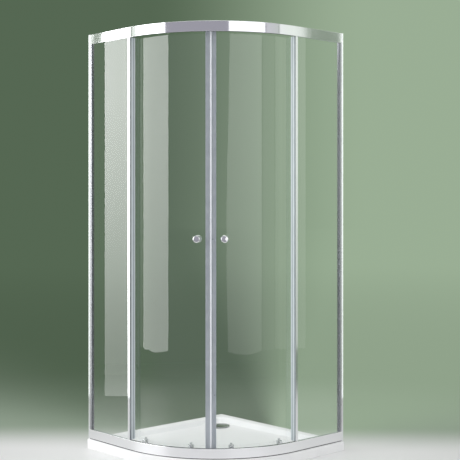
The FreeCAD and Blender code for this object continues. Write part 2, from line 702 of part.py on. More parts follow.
def knob_head(face_inset, sense, stud_end):
    """Turned knob: crowned head, waist, base, and a stud through the glass where stud_end is given."""
    head_end = face_inset + sense * KNOB_HEAD
    base_start = head_end + sense * KNOB_NECK
    base_end = base_start + sense * KNOB_BASE
    corners = [
        (face_inset, 0, 0), (face_inset + sense * KNOB_CROWN, KNOB_RADIUS, KNOB_FACE_ROUNDING),
        (head_end, KNOB_RADIUS, KNOB_ROUNDING), (head_end, KNOB_NECK_RADIUS, KNOB_WAIST_ROUNDING),
        (base_start, KNOB_NECK_RADIUS, KNOB_ROUNDING), (base_start, KNOB_BASE_RADIUS, KNOB_CROWN),
        (base_end, KNOB_BASE_RADIUS, 0)]
    if stud_end is None:
        corners.append((base_end, 0, 0))
    else:
        corners += sharp((base_end, KNOB_STUD_RADIUS), (stud_end, KNOB_STUD_RADIUS), (stud_end, 0))
    return swing(turned(corners, BOTTOM + KNOB_HEIGHT), knob_angle())


def knob_length():
    """Length of a knob from its face to the washer."""
    return KNOB_HEAD + KNOB_NECK + KNOB_BASE


def outer_knob():
    """Knob on the outside, with the stud that runs through the glass into the inner knob."""
    base = DOOR_INSET - KNOB_WASHER - SKIN_GAP
    stud_end = DOOR_INNER + KNOB_WASHER + KNOB_NECK
    return knob_head(base - knob_length(), 1, stud_end)


def inner_washer_start():
    """Inset of the inner washer's seat, off the curved inside of the glass."""
    return DOOR_INNER + bow(KNOB_BASE_RADIUS) + SKIN_GAP / 2


def inner_knob():
    """Knob on the inside, drilled for the stud."""
    base = inner_washer_start() + KNOB_WASHER + SKIN_GAP / 2
    knob = knob_head(base + knob_length(), -1, None)
    drill = level_pin(
        base - THROUGH, base + KNOB_NECK, KNOB_STUD_RADIUS + RUNNING_FIT, BOTTOM + KNOB_HEIGHT)
    return knob.cut(swing(drill, knob_angle()))


def knob_washers():
    """Clear washers between knobs and glass, one each side."""
    rings = []
    for start in (DOOR_INSET - KNOB_WASHER - SKIN_GAP / 2, inner_washer_start()):
        end = start + KNOB_WASHER
        ring = level_pin(start, end, KNOB_BASE_RADIUS, BOTTOM + KNOB_HEIGHT)
        hole = level_pin(start - THROUGH, end + THROUGH, KNOB_STUD_RADIUS + FIT, BOTTOM + KNOB_HEIGHT)
        rings.append(swing(ring.cut(hole), knob_angle()))
    return rings


def wheel(radius, z, angle):
    """Crowned wheel on its axle."""
    near = WHEEL_OUTER_FACE
    far = near + WHEEL_WIDTH
    bore = AXLE_RADIUS + RUNNING_FIT
    tread = [(near, radius, WHEEL_CROWN), (far, radius, WHEEL_CROWN)]
    return swing(turned(sharp((near, bore)) + tread + sharp((far, bore)), z), angle)


def top_wheel(angle):
    """Wheel of the top track, with a ring recessed between hub and tyre on both faces."""
    hub = AXLE_SHOULDER_RADIUS + FIT
    tyre = WHEEL_RADIUS - WHEEL_TYRE
    solid = wheel(WHEEL_RADIUS, TOP_WHEEL_Z, angle)
    for start in (WHEEL_OUTER_FACE - THROUGH, WHEEL_OUTER_FACE + WHEEL_WIDTH - WHEEL_RECESS):
        end = start + THROUGH + WHEEL_RECESS
        ring = sharp((start, hub), (end, hub), (end, tyre), (start, tyre))
        solid = solid.cut(swing(turned(ring, TOP_WHEEL_Z), angle))
    return solid


def axle_corners(root_inset):
    """Stepped axle from the riveted end outside the wheel to its shoulder's root."""
    rivet = WHEEL_OUTER_FACE - RUNNING_FIT
    shoulder = WHEEL_OUTER_FACE + WHEEL_WIDTH + RUNNING_FIT
    return [
        (rivet - RIVET_THICKNESS, 0, 0), (rivet - RIVET_THICKNESS, RIVET_RADIUS, RIVET_THICKNESS / 2),
        (rivet, RIVET_RADIUS, 0), (rivet, AXLE_RADIUS, 0), (shoulder, AXLE_RADIUS, 0),
        (shoulder, AXLE_SHOULDER_RADIUS, 0), (root_inset, AXLE_SHOULDER_RADIUS, 0)]


def hanger_outer_face():
    """Inset of the side of the hanger plate that faces the rail."""
    return DOOR_INSET - SKIN_GAP - HANGER_THICKNESS


def roller_axle(angle):
    """Axle of a top wheel, pressed into its hanger plate."""
    root = hanger_outer_face()
    pressed = sharp((root, AXLE_RADIUS), (root + HANGER_THICKNESS, AXLE_RADIUS), (root + HANGER_THICKNESS, 0))
    return swing(turned(axle_corners(root) + pressed, TOP_WHEEL_Z), angle)


def roller_hanger(angle):
    """Round-ended plate from the glass bolt up to the wheel axle."""
    low = level_pin(hanger_outer_face(), hanger_outer_face() + HANGER_THICKNESS, HANGER_RADIUS, HANGER_HOLE_Z)
    high = level_pin(hanger_outer_face(), hanger_outer_face() + HANGER_THICKNESS, HANGER_RADIUS, TOP_WHEEL_Z)
    web = Part.makeBox(
        2 * HANGER_RADIUS, HANGER_THICKNESS, TOP_WHEEL_Z - HANGER_HOLE_Z,
        Vector(BEND_AXIS.x - HANGER_RADIUS, FACE_Y + hanger_outer_face(), HANGER_HOLE_Z))
    plate = low.fuse([high, web]).removeSplitter()
    ends = hanger_outer_face() - THROUGH, DOOR_INSET + THROUGH
    plate = plate.cut(level_pin(*ends, AXLE_RADIUS + RUNNING_FIT, TOP_WHEEL_Z))
    plate = plate.cut(level_pin(*ends, STUD_RADIUS + RUNNING_FIT, HANGER_HOLE_Z))
    return swing(plate, angle)


def glass_bush(angle, z):
    """Flanged sleeve that keeps metal off the glass, in from the inside."""
    start = DOOR_INSET + SKIN_GAP
    face = DOOR_INNER + SKIN_GAP
    bore = STUD_RADIUS + FIT
    corners = sharp(
        (start, bore), (start, GLASS_HOLE_RADIUS - FIT), (face, GLASS_HOLE_RADIUS - FIT),
        (face, BUSH_FLANGE_RADIUS), (face + BUSH_FLANGE, BUSH_FLANGE_RADIUS), (face + BUSH_FLANGE, bore))
    return swing(turned(corners, z), angle)


def hanger_cap(angle):
    """Round cap on the inside whose stud clamps the hanger to the glass."""
    seat = DOOR_INNER + SKIN_GAP + BUSH_FLANGE + SKIN_GAP
    end = hanger_outer_face() + SKIN_GAP
    top = seat + CAP_THICKNESS
    corners = sharp((end, 0), (end, STUD_RADIUS), (seat, STUD_RADIUS), (seat, CAP_RADIUS))
    return swing(turned(corners + [(top, CAP_RADIUS, CAP_ROUNDING), (top, 0, 0)], HANGER_HOLE_Z), angle)


def guide_cap(angle):
    """Round cap on the outside whose stud holds the guide body to the glass."""
    seat = DOOR_INSET - SKIN_GAP
    end = guide_stud_end()
    top = seat - GUIDE_CAP_THICKNESS
    corners = sharp((end, 0), (end, STUD_RADIUS), (seat, STUD_RADIUS), (seat, GUIDE_CAP_RADIUS))
    return swing(turned(corners + [(top, GUIDE_CAP_RADIUS, CAP_ROUNDING), (top, 0, 0)], GUIDE_HOLE_Z), angle)


def guide_stud_end():
    """Inset of the end of the stud that screws into the guide body."""
    return guide_face() + BUSH_FLANGE


def guide_face():
    """Inset of the guide body's seat on the bush flange."""
    return DOOR_INNER + SKIN_GAP + BUSH_FLANGE + SKIN_GAP


def plunger_inset():
    """Inset of the plunger's axis."""
    return guide_face() + PLUNGER_INSET


def guide_body(angle):
    """Moulded housing inside the glass that guides the plunger."""
    half = GUIDE_BODY_WIDTH / 2
    low = GUIDE_HOLE_Z - GUIDE_BODY_BELOW
    high = GUIDE_HOLE_Z + GUIDE_BODY_ABOVE
    front = guide_face()
    back = front + GUIDE_BODY_DEPTH
    body = upright(
        [(STRAIGHT - half, front, 0), (STRAIGHT + half, front, 0), (STRAIGHT + half, back, GUIDE_BODY_CORNER),
         (STRAIGHT - half, back, GUIDE_BODY_CORNER)], low, high)
    axis = run_point(STRAIGHT, plunger_inset(), low - THROUGH)
    bore = Part.makeCylinder(PLUNGER_RADIUS + RUNNING_FIT, high - low + 2 * THROUGH, axis)
    socket = level_pin(
        front - THROUGH, guide_stud_end() + SKIN_GAP, STUD_RADIUS + RUNNING_FIT, GUIDE_HOLE_Z)
    return swing(body.cut(bore).cut(socket), angle)


def guide_plunger(angle):
    """Push rod with its button on top and, below the glass, a foot that carries the guide wheel's axle."""
    under_button = GUIDE_HOLE_Z + GUIDE_BODY_ABOVE + GUIDE_PRESS + BUTTON_REST_GAP
    top = under_button + BUTTON_THICKNESS
    foot_low = GUIDE_WHEEL_Z - FOOT_HEIGHT / 2
    axis = run_point(STRAIGHT, plunger_inset(), foot_low)
    rod = Part.makeCylinder(PLUNGER_RADIUS, under_button - foot_low, axis)
    button = upright_turned(
        [(0, under_button, 0), (BUTTON_RADIUS, under_button, 0), (BUTTON_RADIUS, top, BUTTON_ROUNDING),
         (0, top, 0)], run_point(STRAIGHT, plunger_inset(), 0))
    half = FOOT_WIDTH / 2
    front = DOOR_INSET - FOOT_OUTER_GAP
    back = plunger_inset() + half
    foot = upright(
        [(STRAIGHT - half, front, 0), (STRAIGHT + half, front, 0), (STRAIGHT + half, back, FOOT_CORNER),
         (STRAIGHT - half, back, FOOT_CORNER)], foot_low, foot_low + FOOT_HEIGHT)
    axle = turned(axle_corners(front) + [(front, 0, 0)], GUIDE_WHEEL_Z)
    return swing(rod.fuse([button, foot, axle]).removeSplitter(), angle)


def left_half():
    """Every left-hand piece, by the name it takes after 'left_' or 'right_'."""
    outer, inner = roller_angles()
    pieces = {
        "wall_profile": wall_profile(),
        "side_post": side_post(),
        "fixed_glass": fixed_glass(),
        "glazing_gasket": glazing_gasket(),
        "fixed_edge_profile": fixed_edge_profile(),
        "fixed_edge_seal": fixed_edge_seal(),
        "door_glass": door_glass(),
        "trailing_seal": trailing_seal(),
        "magnetic_seal": magnetic_seal(),
        "magnet_strip": magnet_strip(),
        "outer_knob": outer_knob(),
        "inner_knob": inner_knob(),
        "knob_washers": knob_washers(),
        "roller_hangers": [roller_hanger(angle) for angle in (outer, inner)],
        "roller_axles": [roller_axle(angle) for angle in (outer, inner)],
        "hanger_caps": [hanger_cap(angle) for angle in (outer, inner)],
        "guide_caps": [guide_cap(angle) for angle in (outer, inner)],
        "glass_bushes": [glass_bush(angle, z) for angle in (outer, inner)
                         for z in (HANGER_HOLE_Z, GUIDE_HOLE_Z)],
        "guide_bodies": [guide_body(angle) for angle in (outer, inner)],
    }
    for place, angle in (("outer", outer), ("inner", inner)):
        pieces[place + "_top_wheel"] = top_wheel(angle)
        pieces[place + "_guide_wheel"] = wheel(GUIDE_WHEEL_RADIUS, GUIDE_WHEEL_Z, angle)
        pieces[place + "_guide_plunger"] = guide_plunger(angle)
    return pieces


def both_sides(solids):
    """Left-hand solids and their reflections, as one group."""
    return solids + [reflect(solid) for solid in solids]


def enclosure():
    """All nodes of the enclosure, by name."""
    nodes = {
        "shower_tray": shower_tray(),
        "waste_flange": waste_flange(),
        "waste_gasket": waste_gasket(),
        "drain_cover": drain_cover(),
        "top_rail": bent_rail(True),
        "bottom_rail": bent_rail(False),
        "corner_connectors": both_sides([corner_connector(low) for low in (True, False)]),
        "corner_screws": both_sides([screw(*corner_screw_place(low)) for low in (True, False)]),
        "profile_screws": both_sides([screw(*place) for place in profile_screw_places()]),
        "end_stops": both_sides([end_stop()]),
    }
    for name, solids in left_half().items():
        group = solids if isinstance(solids, list) else [solids]
        nodes["left_" + name] = group
        nodes["right_" + name] = [reflect(solid) for solid in group]
    return nodes


def main():
    """Write each node's solids to its own file."""
    os.makedirs("parts", exist_ok=True)
    for name, solids in enclosure().items():
        shape = Part.makeCompound(solids) if isinstance(solids, list) else solids
        shape.exportStep(os.path.join("parts", name + ".step"))
        print(name, len(shape.Solids), "solids", round(shape.Volume / 1000, 2), "cm3", shape.isValid())


main()
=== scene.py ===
"""Looks of a quadrant shower enclosure: finishes, cross-headed screws, a rubber bead, studio and camera.

Metres, +Z up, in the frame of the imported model. The enclosure's front points to +X, -Y, and its two straight
runs join a quarter bend whose upright axis is BEND.
"""

import json
import math

import bpy
import numpy as np
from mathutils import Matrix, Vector


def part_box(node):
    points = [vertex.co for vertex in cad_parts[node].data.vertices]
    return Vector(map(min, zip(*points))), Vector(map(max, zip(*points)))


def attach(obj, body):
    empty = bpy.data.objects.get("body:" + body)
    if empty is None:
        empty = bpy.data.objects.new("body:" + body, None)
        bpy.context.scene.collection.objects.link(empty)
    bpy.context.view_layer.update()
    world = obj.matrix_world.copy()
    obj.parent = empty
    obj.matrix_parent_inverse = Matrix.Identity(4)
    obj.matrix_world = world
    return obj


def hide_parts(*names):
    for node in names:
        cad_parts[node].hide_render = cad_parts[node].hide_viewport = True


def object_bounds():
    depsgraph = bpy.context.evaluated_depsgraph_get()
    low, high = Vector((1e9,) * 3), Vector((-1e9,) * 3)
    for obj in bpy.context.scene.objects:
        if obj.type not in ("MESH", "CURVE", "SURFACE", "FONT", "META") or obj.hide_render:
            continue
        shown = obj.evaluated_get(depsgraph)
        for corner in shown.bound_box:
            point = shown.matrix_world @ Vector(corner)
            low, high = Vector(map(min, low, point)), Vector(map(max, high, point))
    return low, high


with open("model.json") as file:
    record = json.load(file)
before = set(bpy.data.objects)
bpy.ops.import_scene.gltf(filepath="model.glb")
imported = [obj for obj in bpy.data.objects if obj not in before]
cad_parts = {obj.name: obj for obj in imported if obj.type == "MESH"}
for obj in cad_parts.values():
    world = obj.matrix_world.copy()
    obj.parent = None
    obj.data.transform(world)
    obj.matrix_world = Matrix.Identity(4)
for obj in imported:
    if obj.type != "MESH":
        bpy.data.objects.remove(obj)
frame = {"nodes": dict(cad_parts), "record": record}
CAD_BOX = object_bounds()

# Places, most of them read from the frame
RAIL_LOW, RAIL_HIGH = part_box("top_rail")
RAIL_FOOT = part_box("bottom_rail")[0].z
FLOOR_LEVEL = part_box("shower_tray")[0].z
BEND_RADIUS = 0.550
BEND = Vector((RAIL_HIGH.x - BEND_RADIUS, RAIL_LOW.y + BEND_RADIUS, 0))
CORNER = Vector((CAD_BOX[0].x, CAD_BOX[1].y, 0))
FRONT = Vector((1, -1, 0)).normalized()
RIGHT = Vector((1, 1, 0)).normalized()

# Finishes: lines per metre left by drawing or by a die, cosines between an edge and a face, and distances
# from the plane that mirrors left and right
DRAWN_LINES = 900.0
DIE_LINES = 420.0
EDGE_TO_FACE = (0.5, 0.8)
MAGNET_POCKET = (0.0030, 0.0042)
# Where the folded strips carry a dark line of painted shade
FOLD_SHADE_BAND = (0.3737, 0.3777)
FOLD_SHADE_BLUR = 0.0004

# Rubber bead: a dark line along the bottom rail's foot, partly a foot gasket and partly painted shade
BEND_STEPS = 96
BEAD_STEPS = 9
BEAD_SEAT = 0.0002
BEAD_HEIGHT = 0.0021
BEAD_OUT = 0.0016
BEAD_IN = 0.0009

# Screws
SCREW_RADIUS = 0.0015
SCREW_LENGTH = 0.006
SCREW_POINT = 0.0005
SCREW_HEAD = 0.0018
SCREW_HEAD_RADIUS = 0.003
SCREW_RIM = 0.0003
SCREW_ROUNDING = 2.6
SCREW_STEPS = 64
SCREW_RINGS = np.concatenate([[1.0, 0.985, 0.95, 0.9, 0.83, 0.76], np.linspace(0.68, 0.05, 18)])
SCREW_CREASE = math.radians(35)
CROSS_DEPTH = 0.0010
CROSS_ARM = 0.0004
CROSS_REACH = 0.0017
CROSS_WALL = 0.00012

# Camera: level, in front of the corner, looking a little to the left of it
IMAGE = 460
CAMERA_AHEAD = 5.8153
CAMERA_ASIDE = 0.2871
CAMERA_RISE = 1.1793
CAMERA_YAW = math.radians(-2.364)
FOCAL_PIXELS = 1052.0
HORIZON_PIXEL = 200.6
SENSOR = 36.0

# Backdrop: its tones, and the parts of a direction over which they pass into one another; behind the enclosure
# it is darker to the left, as painted shade
BACK_SHADED_TONE = (0.092, 0.138, 0.086, 1.0)
BACK_LIT_TONE = (0.325, 0.425, 0.30, 1.0)
BACK_SPREAD = (-0.12, 0.09)
SIDE_TONE = (0.275, 0.34, 0.265, 1.0)
SIDE_SPREAD = (-0.9, -0.3)
FRONT_TONE = (0.36, 0.355, 0.40, 1.0)
FRONT_SPREAD = (0.05, 0.7)
FILL = 0.66

# Floor: with distance its colour darkens by FLOOR_FALLOFF_SHADE as painted shade, turns into the backdrop
# (FADE), whose glow
# FLOOR_DIM darkens as painted shade until it reaches its brightness (CLEARS); PASSES is where, from back to
# front, the backdrop's tone gives way to the pale one
FLOOR_TONE = 0.82
FLOOR_FALLOFF_SHADE = 0.14
FLOOR_FALLOFF_SPAN = (0.5, 1.5)
FLOOR_RADIUS = 40.0
FLOOR_DROP = 0.0003
FLOOR_MOTTLE = 0.01
FLOOR_STEPS = (24, 96)
FLOOR_PASSES = (-0.55, 0.06)
FLOOR_FADE = (1.6, 2.8)
FLOOR_DIM = 0.86
FLOOR_CLEARS = (2.5, 16.0)

# Lamps
PANEL_HEIGHT = 3.4
PANEL_RAMP = (0.0, 0.6)
NEAR = 3.0
GLASS_GAIN = 1.87
# Name, bearings of both ends in degrees, distance from the bend's axis, radiance, share of it at the foot
PANELS = (
    ("left_post_panel", -98.0, -92.2, 2.0, 1.0, 0.8),
    ("right_post_panel", 88.0, 93.0, 2.0, 1.0, 0.8),
    ("far_left_panel", -89.9, -83.8, 2.0, 5.6, 0.3),
    ("left_gap_panel", -88.0, -83.4, 4.2, 0.5, 0.5),
    ("left_panel", -82.8, -48.0, 4.2, 2.8, 0.65),
    ("right_panel", 14.5, 50.0, 4.2, 0.85, 0.5),
    ("right_gap_panel", 51.5, 65.0, 4.2, 0.22, 0.5),
    ("far_right_panel", 66.0, 87.0, 4.2, 0.48, 0.5),
)
# Side, height above the floor and radiance
TOP_PANEL = (3.0, 4.6, 1.3)


class Signal:
    """An output socket that takes part in arithmetic: each operator adds one Math node."""

    def __init__(self, finish, socket):
        self.finish = finish
        self.socket = socket

    def maths(self, operation, *values):
        return self.finish.node("ShaderNodeMath", {"operation": operation}, dict(enumerate(values)))

    def __add__(self, other):
        return self.maths("ADD", self, other)

    __radd__ = __add__

    def __sub__(self, other):
        return self.maths("SUBTRACT", self, other)

    def __rsub__(self, other):
        return self.maths("SUBTRACT", other, self)

    def __mul__(self, other):
        return self.maths("MULTIPLY", self, other)

    __rmul__ = __mul__

    def __truediv__(self, other):
        return self.maths("DIVIDE", self, other)

    def __pow__(self, power):
        return self.maths("POWER", self, power)

    def __abs__(self):
        return self.maths("ABSOLUTE", self)

    def least(self, other):
        return self.maths("MINIMUM", self, other)

    def most(self, other):
        return self.maths("MAXIMUM", self, other)

    def rise(self, low, high):
        """0 below low, 1 above high, smooth between."""
        settings = {"interpolation_type": "SMOOTHSTEP"}
        inputs = {"Value": self, "From Min": low, "From Max": high}
        return self.finish.node("ShaderNodeMapRange", settings, inputs)


class Finish:
    """A node tree with one method that every node comes from."""

    def __init__(self, owner):
        owner.use_nodes = True
        self.tree = owner.node_tree
        self.tree.nodes.clear()

    def node(self, kind, settings=None, inputs=None, output=0):
        """Add a node, set its settings, feed its sockets and return one of its outputs."""
        made = self.tree.nodes.new(kind)
        for name, value in (settings or {}).items():
            setattr(made, name, value)
        for key, value in (inputs or {}).items():
            if isinstance(value, Signal):
                self.tree.links.new(value.socket, made.inputs[key])
            else:
                made.inputs[key].default_value = value
        return Signal(self, made.outputs[output])

    def place(self):
        """Object coordinates, as a vector."""
        return self.node("ShaderNodeTexCoord", output="Object")

    def ray(self, kind):
        """1 for rays of one kind."""
        return self.node("ShaderNodeLightPath", output=kind)

    def vector(self, operation, *values, output="Vector"):
        return self.node("ShaderNodeVectorMath", {"operation": operation}, dict(enumerate(values)), output)

    def along(self, vector, way):
        """A vector's part along a direction."""
        return self.vector("DOT_PRODUCT", vector, way, output="Value")

    def length(self, vector):
        return self.vector("LENGTH", vector, output="Value")

    def split(self, vector):
        """The three parts of a vector."""
        first = self.node("ShaderNodeSeparateXYZ", None, {0: vector})
        return [Signal(self, socket) for socket in first.socket.node.outputs]

    def join(self, x, y, z):
        return self.node("ShaderNodeCombineXYZ", None, {0: x, 1: y, 2: z})

    def noise(self, vector, scale, detail=2.0, rough=0.5):
        inputs = {"Vector": vector, "Scale": scale, "Detail": detail, "Roughness": rough}
        return self.node("ShaderNodeTexNoise", {"noise_dimensions": "3D"}, inputs)

    def stretched(self, vector, factors):
        return self.node("ShaderNodeMapping", None, {"Vector": vector, "Scale": factors})

    def blend(self, share, first, second):
        """Colour between two colours."""
        inputs = {0: share, 6: first, 7: second}
        return self.node("ShaderNodeMix", {"data_type": "RGBA"}, inputs, output=2)

    def bump(self, height, depth, strength=1.0):
        inputs = {"Height": height, "Distance": depth, "Strength": strength}
        return self.node("ShaderNodeBump", None, inputs)

    def principled(self, inputs):
        return self.node("ShaderNodeBsdfPrincipled", None, inputs)

    def mixed(self, share, first, second):
        return self.node("ShaderNodeMixShader", None, {0: share, 1: first, 2: second})

    def out(self, shader, kind="ShaderNodeOutputMaterial"):
        made = self.tree.nodes.new(kind)
        self.tree.links.new(shader.socket, made.inputs["Surface"])


def new_finish(name):
    material = bpy.data.materials.new(name)
    return material, Finish(material)


def grey(level):
    return (level, level, level, 1.0)


def outward(finish):
    """Level direction out of the enclosure, distance from the bend's axis, and height.

    On the bend the direction points away from the axis. On a straight run the part along the run counts as
    zero, so that it points square out of the run.
    """
    x, y, z = finish.split(finish.place())
    along_x = (x - BEND.x).most(0.0)
    along_y = (y - BEND.y).least(0.0)
    away = finish.join(along_x, along_y, 0.0)
    return finish.vector("NORMALIZE", away), finish.length(away), z


def smudges(finish, low, high):
    """Roughness that wanders between two values, as handled and wiped metal does."""
    patch = finish.noise(finish.place(), 9.0, 3.0, 0.55)
    wipe = finish.noise(finish.stretched(finish.place(), (30, 30, 4)), 1.0, 2.0)
    return low + (high - low) * (0.6 * patch.rise(0.35, 0.75) + 0.4 * wipe.rise(0.4, 0.8))


def turned_away(finish):
    """1 where the surface turns away from the outward direction, as a narrow face or an edge does."""
    direction, _, _ = outward(finish)
    facing = finish.along(finish.node("ShaderNodeNewGeometry", output="True Normal"), direction)
    return 1.0 - abs(facing).rise(*EDGE_TO_FACE)


def upright_lines(finish):
    """0 to 1 in faint lines along Z, as drawing leaves them."""
    lines = finish.stretched(finish.place(), (DRAWN_LINES, DRAWN_LINES, 2))
    return finish.noise(lines, 1.0, 3.0, 0.6)


def strip_grain(finish):
    """Fine lines from a die along Z, and soft clouds."""
    lines = finish.stretched(finish.place(), (DIE_LINES, DIE_LINES, 1))
    return finish.noise(lines, 1.0, 2.0), finish.noise(finish.place(), 26.0, 3.0, 0.6)


def from_middle(finish):
    """Distance from the plane that mirrors left and right."""
    x, y, _ = finish.split(finish.place())
    return abs(x + y) / math.sqrt(2)


def bright_rail_finish():
    """Polished, anodised aluminium, drawn along the bend: faint lines keep their height and their inset."""
    material, finish = new_finish("bright_rail")
    _, distance, height = outward(finish)
    section = finish.join(distance * DRAWN_LINES, height * DRAWN_LINES, 0.0)
    lines = finish.noise(section, 1.0, 3.0, 0.6)
    tint = finish.blend(lines.rise(0.3, 0.7), (0.86, 0.86, 0.885, 1), (0.91, 0.91, 0.93, 1))
    finish.out(finish.principled({
        "Base Color": tint, "Metallic": 1.0,
        "Roughness": smudges(finish, 0.06, 0.10),
        "Normal": finish.bump(lines, 0.000006)}))
    return material


def bright_upright_finish():
    """The same aluminium drawn upright: the lines run along Z, and only the broad faces are polished. The
    narrow faces and edges are rougher, and their darker colour is painted shade.
    """
    material, finish = new_finish("bright_upright")
    lines = upright_lines(finish)
    share = lines.rise(0.3, 0.7)
    polished = finish.blend(share, (0.85, 0.86, 0.885, 1), (0.91, 0.92, 0.935, 1))
    # matt is painted shade: a darker colour for the narrow faces and edges; narrow marks them, and also adds
    # roughness
    matt = finish.blend(share, (0.36, 0.38, 0.42, 1), (0.46, 0.48, 0.52, 1))
    narrow = turned_away(finish)
    finish.out(finish.principled({
        "Base Color": finish.blend(narrow, polished, matt), "Metallic": 1.0,
        "Roughness": smudges(finish, 0.07, 0.11) + 0.3 * narrow,
        "Normal": finish.bump(lines, 0.000005)}))
    return material


def matt_upright_finish():
    """Aluminium drawn upright and left matt, as on the posts that slide inside the wall profiles. Its narrow
    faces and edges get a much darker colour as painted shade.
    """
    material, finish = new_finish("matt_upright")
    lines = upright_lines(finish)
    share = lines.rise(0.3, 0.7)
    broad = finish.blend(share, (0.34, 0.34, 0.37, 1), (0.44, 0.44, 0.47, 1))
    # Painted shade: narrow is the darker colour of the narrow faces and edges
    narrow = finish.blend(share, (0.15, 0.15, 0.17, 1), (0.21, 0.21, 0.23, 1))
    finish.out(finish.principled({
        "Base Color": finish.blend(turned_away(finish), broad, narrow), "Metallic": 1.0,
        "Roughness": smudges(finish, 0.24, 0.32),
        "Normal": finish.bump(lines, 0.000003)}))
    return material


def chrome_finish():
    """Chrome plate over turned brass, with faint finger marks."""
    material, finish = new_finish("chrome_plate")
    marks = finish.noise(finish.place(), 160.0, 3.0, 0.6)
    tint = finish.blend(marks.rise(0.45, 0.8), (0.90, 0.905, 0.915, 1), (0.84, 0.845, 0.855, 1))
    rough = 0.025 + 0.07 * marks.rise(0.5, 0.8)
    ripple = finish.noise(finish.place(), 35.0, 1.0)
    finish.out(finish.principled({
        "Base Color": tint, "Metallic": 1.0, "Roughness": rough,
        "Normal": finish.bump(ripple, 0.00004)}))
    return material


def steel_finish():
    """Plain stainless steel with a fine turned grain."""
    material, finish = new_finish("plain_steel")
    grain = finish.noise(finish.place(), 700.0, 3.0, 0.7)
    tint = finish.blend(grain, (0.52, 0.52, 0.53, 1), (0.68, 0.68, 0.69, 1))
    finish.out(finish.principled({
        "Base Color": tint, "Metallic": 1.0, "Roughness": 0.24 + 0.16 * grain,
        "Normal": finish.bump(grain, 0.00003)}))
    return material


def drain_cover_finish():
    """Stainless dome, satin from turning: fine rings about the drain's middle."""
    material, finish = new_finish("turned_stainless")
    low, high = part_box("drain_cover")
    middle = (low + high) / 2
    reach = finish.length(finish.vector("SUBTRACT", finish.place(), middle))
    rings = finish.noise(finish.join(reach * 2200.0, 0.0, 0.0), 1.0, 3.0, 0.6)
    cloud = finish.noise(finish.place(), 40.0, 3.0, 0.6)
    tint = finish.blend(0.5 * rings + 0.5 * cloud, (0.40, 0.405, 0.41, 1), (0.52, 0.525, 0.53, 1))
    finish.out(finish.principled({
        "Base Color": tint, "Metallic": 1.0, "Roughness": 0.16 + 0.14 * cloud,
        "Normal": finish.bump(rings, 0.00002)}))
    return material


def lets_light_through(finish, shader, tint):
    """Light for what lies behind passes as through a tinted film, so the shader casts only a pale shadow."""
    film = finish.node("ShaderNodeBsdfTransparent", None, {"Color": tint})
    return finish.mixed(finish.ray("Is Shadow Ray").most(finish.ray("Is Diffuse Ray")), shader, film)


def glass_finish():
    """Clear toughened glass: nearly colourless through its faces, green through its ground edges.

    A face looks along the outward direction; where the surface turns away from it, it is an edge.
    """
    material, finish = new_finish("clear_glass")
    edge = turned_away(finish)
    film = finish.noise(finish.stretched(finish.place(), (6, 6, 1.5)), 1.0, 3.0, 0.6)
    face = finish.blend(film, (0.975, 0.988, 0.981, 1), (0.969, 0.982, 0.975, 1))
    tint = finish.blend(edge, face, (0.42, 0.72, 0.62, 1))
    glass = finish.principled({
        "Base Color": tint, "Roughness": 0.25 * edge, "IOR": 1.5, "Transmission Weight": 1.0})
    finish.out(lets_light_through(finish, glass, (0.955, 0.975, 0.965, 1)))
    return material


def folded_seal_finish():
    """Light, cloudy strip with a dark line of painted shade, where the door's strip closes on the pane's
    strip.

    FOLD_SHADE_BAND bounds the shaded line by its distance from the plane that mirrors left and right.
    """
    material, finish = new_finish("folded_strip")
    aside = from_middle(finish)
    begun, ended = [aside.rise(edge - FOLD_SHADE_BLUR, edge + FOLD_SHADE_BLUR) for edge in FOLD_SHADE_BAND]
    fold_shade = begun * (1.0 - ended)
    lines, cloud = strip_grain(finish)
    light = finish.blend(0.5 * lines + 0.5 * cloud, (0.66, 0.71, 0.75, 1), (0.82, 0.86, 0.90, 1))
    finish.out(finish.principled({
        "Base Color": finish.blend(fold_shade, light, (0.40, 0.44, 0.49, 1)), "Roughness": 0.22 + 0.2 * cloud,
        "IOR": 1.52, "Transmission Weight": 0.25, "Normal": finish.bump(lines, 0.00006)}))
    return material


def seal_finish():
    """Cloudy flexible strip with fine lines from its die; white where its clear wall covers a magnet."""
    material, finish = new_finish("cloudy_strip")
    lines, cloud = strip_grain(finish)
    tint = finish.blend(
        (0.5 * lines + 0.5 * cloud).rise(0.35, 0.7), (0.50, 0.54, 0.60, 1), (0.60, 0.64, 0.69, 1))
    relief = finish.bump(lines, 0.00008)
    cloudy = finish.principled({
        "Base Color": tint, "Roughness": 0.22 + 0.2 * cloud, "IOR": 1.52,
        "Transmission Weight": 0.45, "Normal": relief})
    covered = finish.principled({
        "Base Color": finish.blend(cloud, (0.80, 0.83, 0.88, 1), (0.88, 0.90, 0.94, 1)),
        "Roughness": 0.18 + 0.1 * cloud, "Normal": relief})
    pocket = 1.0 - from_middle(finish).rise(*MAGNET_POCKET)
    finish.out(finish.mixed(pocket, cloudy, covered))
    return material


def magnet_finish():
    """White flexible magnet with a matt, slightly grainy skin."""
    material, finish = new_finish("white_magnet")
    grain = finish.noise(finish.place(), 500.0, 2.0)
    tint = finish.blend(grain, (0.82, 0.825, 0.84, 1), (0.92, 0.92, 0.93, 1))
    finish.out(finish.principled({"Base Color": tint, "Roughness": 0.45 + 0.2 * grain}))
    return material


def acrylic_finish():
    """Satin white acrylic: a slightly wavy skin with the faintest mottling."""
    material, finish = new_finish("white_acrylic")
    mottle = finish.noise(finish.place(), 14.0, 4.0, 0.6)
    peel = finish.noise(finish.place(), 90.0, 2.0)
    tint = finish.blend(mottle.rise(0.3, 0.7), (0.80, 0.805, 0.815, 1), (0.835, 0.84, 0.845, 1))
    finish.out(finish.principled({
        "Base Color": tint, "Roughness": 0.30 + 0.12 * mottle, "Specular IOR Level": 0.3,
        "Normal": finish.bump(peel, 0.00025, 0.5)}))
    return material


